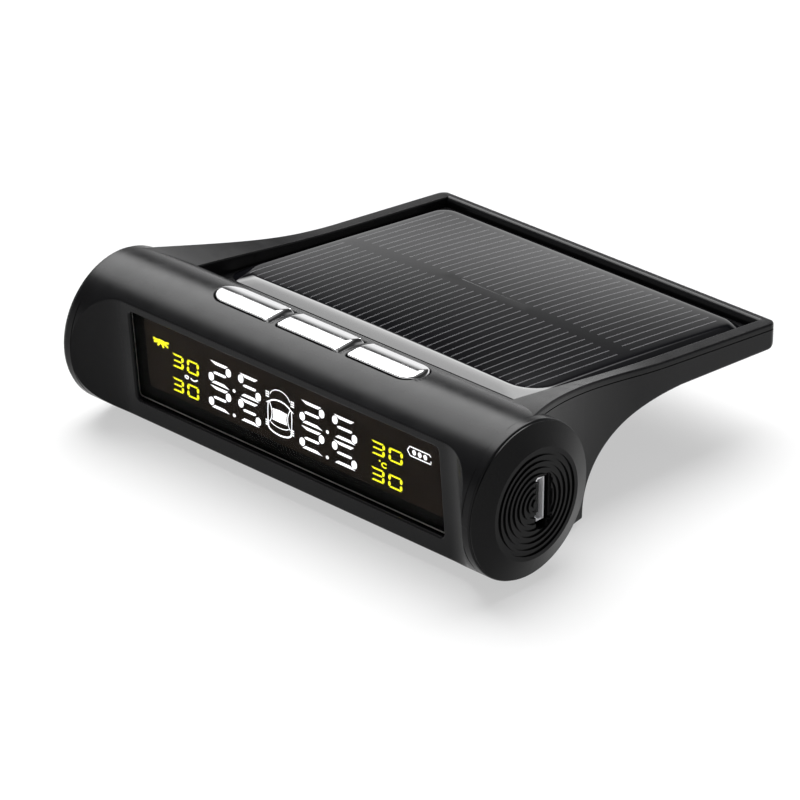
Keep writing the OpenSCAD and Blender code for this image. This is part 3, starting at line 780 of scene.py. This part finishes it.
def digit(marks, which, cx, cz, half_w, half_h, thick, fat):
    """Seven segments: half_w reaches the uprights' middles, half_h the outer edges of the bars.

    thick is the bars' height and fat the uprights' width."""
    lit = SEGMENTS[which]
    out = half_w + 0.17 * fat
    foot = half_h - thick
    top = [(-out, half_h), (out - 0.25 * fat, half_h), (out - 0.85 * fat, foot), (fat - out, foot)]
    if "a" in lit:
        marks.shape([(cx + u, cz + w) for u, w in top])
    if "d" in lit:
        marks.shape([(cx - u, cz - w) for u, w in top])
    if "g" in lit:
        reach, h = half_w - 0.42 * fat, thick * 0.46
        bar = [(-reach, 0), (0.4 * fat - reach, h), (reach - 0.15 * fat, h), (reach, 0),
               (reach - 0.3 * fat, -h), (0.2 * fat - reach, -h)]
        marks.shape([(cx + u, cz + w) for u, w in bar])
    low, high = 0.1 * half_h, 0.87 * half_h
    for name, sx, sz in (("b", 1, 1), ("c", 1, -1), ("e", -1, -1), ("f", -1, 1)):
        if name in lit:
            marks.shape(pill(cx + sx * half_w, cz + sz * (low + high) / 2, fat, high - low))


def arc_line(cx, cz, rx, rz, start, stop, steps):
    angles = np.radians(np.linspace(start, stop, steps + 1))
    return [(cx + rx * math.cos(a), cz + rz * math.sin(a)) for a in angles]


def pressure(marks, x_two, x_point, x_five, z, half_w):
    """A pressure reading of two digits and a point."""
    digit(marks, "2", x_two, z, half_w, *LARGE)
    digit(marks, "5", x_five, z, half_w, *LARGE)
    marks.shape(arc_line(x_point, z - 1.9, 0.33, 0.33, 0, 315, 7))


def temperature(marks, x_three, x_nought, z, half_w):
    digit(marks, "3", x_three, z, half_w, *SMALL)
    digit(marks, "0", x_nought, z, half_w, *SMALL)


def car(marks):
    """Top view of a car: bonnet, screens, body sides, mirrors, wheels and a lit roof."""
    x = -2.2
    marks.stroke(arc_line(x, 3.6, 2.3, 1.8, 14, 166, 16), 0.15)
    marks.stroke(arc_line(x, 1.7, 2.75, 1.72, 25, 155, 14), 0.26)
    marks.stroke(arc_line(x, -0.9, 2.2, 0.85, 205, 335, 12), 0.16)
    marks.stroke(arc_line(x, -2.0, 2.65, 1.15, 190, 350, 14), 0.3)
    body = [(2.65, 2.3), (2.72, 0.9), (2.68, -1.0), (2.62, -2.1)]
    glass = [(2.35, 2.55), (1.98, 1.75), (1.76, 0.8), (1.82, -0.1), (2.05, -0.8), (2.3, -1.3)]
    mirror = [(2.35, 2.75), (3.2, 2.2), (2.6, 2.25)]
    for side in (-1, 1):
        marks.stroke([(x + side * w, z) for w, z in body], 0.18)
        marks.stroke([(x + side * w, z) for w, z in glass], 0.15)
        marks.shape([(x + side * w, z) for w, z in mirror])
        for wheel_z in (3.83, -1.62):
            for k in range(3):
                high, low = [wheel_z + up - 0.42 * k for up in (0.55, 0.3)]
                bar = [(2.45, high), (3.2, high), (3.2, low), (2.45, low)]
                marks.shape([(x + side * w, z) for w, z in bar])
    waist = [(1.7, 1.5), (1.5, 0.9), (1.45, 0.4), (1.52, -0.1), (1.7, -0.62)]
    left, right = [(x - w, z) for w, z in waist], [(x + w, z) for w, z in reversed(waist)]
    marks.shape(left + [(x, -0.68)] + right + [(x, 1.66)])


def battery_mark(marks):
    z, half, thin = 4.95, 0.84, 0.2
    top = [(26.95, z - half), (26.4, z), (26.95, z + half), (31.2, z + half), (31.5, z + 0.5)]
    bottom = [(26.95, z - half), (31.4, z - half), (31.45, z - 0.3)]
    for line in (top, bottom):
        marks.stroke(line, thin, lean=False)
    for x in (27.85, 29.05, 30.25):
        marks.shape(arc_line(x, z, 0.4, 0.5, 22, 337, 7), lean=False)


def unit_mark(marks, x, z):
    """A small unit sign: a ring and a tick."""
    marks.stroke(arc_line(x - 0.9, z, 0.42, 0.26, 0, 330, 10), 0.24)
    marks.stroke([(x, z + 0.08), (x + 0.4, z - 0.15), (x + 1.0, z - 0.15), (x + 1.6, z + 0.25)], 0.26)


def sun_mark(marks):
    """A half sun with its rays downwards."""
    x, z = -29.25, 4.72
    marks.shape(arc_line(x, z, 1.15, 0.42, 0, 345, 20), lean=False)
    for a in np.radians((168, 205, 242, 285, 327, 18)):
        c, s = math.cos(a), math.sin(a)
        marks.stroke([(x + 0.8 * c, z + 0.3 * s), (x + 1.9 * c, z + 1.0 * s)], 0.36, lean=False)


def celsius_mark(marks, x, z):
    marks.shape(arc_line(x - 1.05, z + 0.52, 0.2, 0.17, 0, 315, 7))
    marks.stroke(arc_line(x, z, 0.58, 0.42, 40, 320, 10), 0.24)


def make_display():
    white, yellow = Marks(), Marks()
    for z, z_small in ((3.4, 2.38), (-1.33, -2.27)):
        pressure(white, -15.93, -12.65, -9.1, z, 1.99)
        temperature(yellow, -25.75, -22.2, z_small, 1.13)
    for z, z_small in ((3.5, 2.7), (-1.36, -2.3)):
        pressure(white, 5.03, 8.5, 12.3, z, 2.17)
        temperature(yellow, 19.6, 23.5, z_small, 1.28)
    car(white)
    battery_mark(white)
    unit_mark(white, -22.75, 0.1)
    sun_mark(yellow)
    celsius_mark(yellow, 21.1, 0.05)
    piece("display_white_marks", white.mesh(), MATERIALS["display_white"], DISPLAY)
    piece("display_yellow_marks", yellow.mesh(), MATERIALS["display_yellow"], DISPLAY)
    make_mask()


def make_mask():
    """Black frame printed over the panel's edge."""
    front, back = LCD_FRONT - 0.03, LCD_FRONT - 0.01
    outer = rounded_outline(WINDOW_W + MASK_SIDE, WINDOW_H + MASK_END, WINDOW_R)
    inner = rounded_outline(MASK_HOLE_W, MASK_HOLE_H, MASK_HOLE_R)
    loops = [[(u, y, v + WINDOW_RISE) for u, v in outer] for y in (back, front)]
    loops += [[(u + MASK_HOLE_X, y, v + MASK_HOLE_RISE) for u, v in inner] for y in (front, back)]
    faces = ring_faces(4, len(outer), 4)
    mesh = new_mesh(np.asarray(loops).reshape(-1, 3), faces)
    piece("display_mask", mesh, MATERIALS["print_black"], DISPLAY)


# ---- Studio ----

def make_floor():
    size, low = 3.0, -0.00005
    corners = [(-size, -size, low), (size, -size, low), (size, size, low), (-size, size, low)]
    obj = add_object("floor", new_mesh(corners, [(0, 1, 2, 3)]))
    n = Nodes("floor")
    n.colour(n.ramp(n.noise(6.0), (0.26, 0.26, 0.26), (0.28, 0.28, 0.28)))
    n.set(Roughness=0.9, Specular_IOR_Level=0.0, Emission_Color=(1, 1, 1, 1), Emission_Strength=0.52)
    obj.data.materials.append(n.material)


def make_world():
    """Soft studio surroundings: a bright horizon, a dark band above it, and a wide soft light overhead."""
    heights = [(0.0, 1.0), (0.14, 1.0), (0.26, 0.6), (0.33, 0.3), (0.40, 0.04), (0.54, 0.02), (0.75, 0.3),
               (1.0, 0.4)]
    light_aim = Vector((-0.38, 0.30, 0.875)).normalized()
    light_edge, light_core, light_strength = math.radians(35), math.radians(23), 9.0
    world = bpy.data.worlds.new("studio")
    bpy.context.scene.world = world
    world.use_nodes = True
    tree = world.node_tree
    background = tree.nodes["Background"]
    coord = tree.nodes.new("ShaderNodeTexCoord")
    split = tree.nodes.new("ShaderNodeSeparateXYZ")
    tree.links.new(coord.outputs["Generated"], split.inputs[0])
    ramp = tree.nodes.new("ShaderNodeValToRGB")
    fill_ramp(ramp.color_ramp, [(place, (value,) * 3) for place, value in heights])
    tree.links.new(split.outputs["Z"], ramp.inputs["Fac"])
    dot = tree.nodes.new("ShaderNodeVectorMath")
    dot.operation = "DOT_PRODUCT"
    dot.inputs[1].default_value = light_aim
    tree.links.new(coord.outputs["Generated"], dot.inputs[0])
    light = tree.nodes.new("ShaderNodeMapRange")
    light.interpolation_type = "SMOOTHSTEP"
    set_range(light, math.cos(light_edge), math.cos(light_core), 0.0, light_strength)
    tree.links.new(dot.outputs["Value"], light.inputs["Value"])
    add = tree.nodes.new("ShaderNodeVectorMath")
    add.operation = "ADD"
    tree.links.new(ramp.outputs["Color"], add.inputs[0])
    tree.links.new(light.outputs["Result"], add.inputs[1])
    tree.links.new(add.outputs["Vector"], background.inputs["Color"])
    background.inputs["Strength"].default_value = 1.0


def make_camera():
    azimuth, elevation, roll = math.radians(44.06), math.radians(26.4), math.radians(0.195)
    distance, target = 0.7856, Vector((0.0053, -0.0144, 0.0126))
    level = math.cos(elevation)
    back = Vector((math.sin(azimuth) * level, -math.cos(azimuth) * level, math.sin(elevation)))
    data = bpy.data.cameras.new("camera")
    data.lens, data.sensor_width = 219.5, 36.0
    data.clip_start, data.clip_end = 0.01, 20.0
    obj = add_object("camera", data)
    obj.location = target + back * distance
    turn = Matrix.Rotation(roll, 4, back)
    obj.rotation_mode = "QUATERNION"
    obj.rotation_quaternion = (turn @ back.to_track_quat("Z", "Y").to_matrix().to_4x4()).to_quaternion()
    bpy.context.scene.camera = obj


make_camera()
make_world()
make_floor()
make_tube()
make_wing()
make_solar_panel()
for index, key_name in ((-1, "left"), (0, "middle"), (1, "right")):
    make_key(index, key_name)
make_display()
bpy.context.scene.view_settings.view_transform = "Standard"
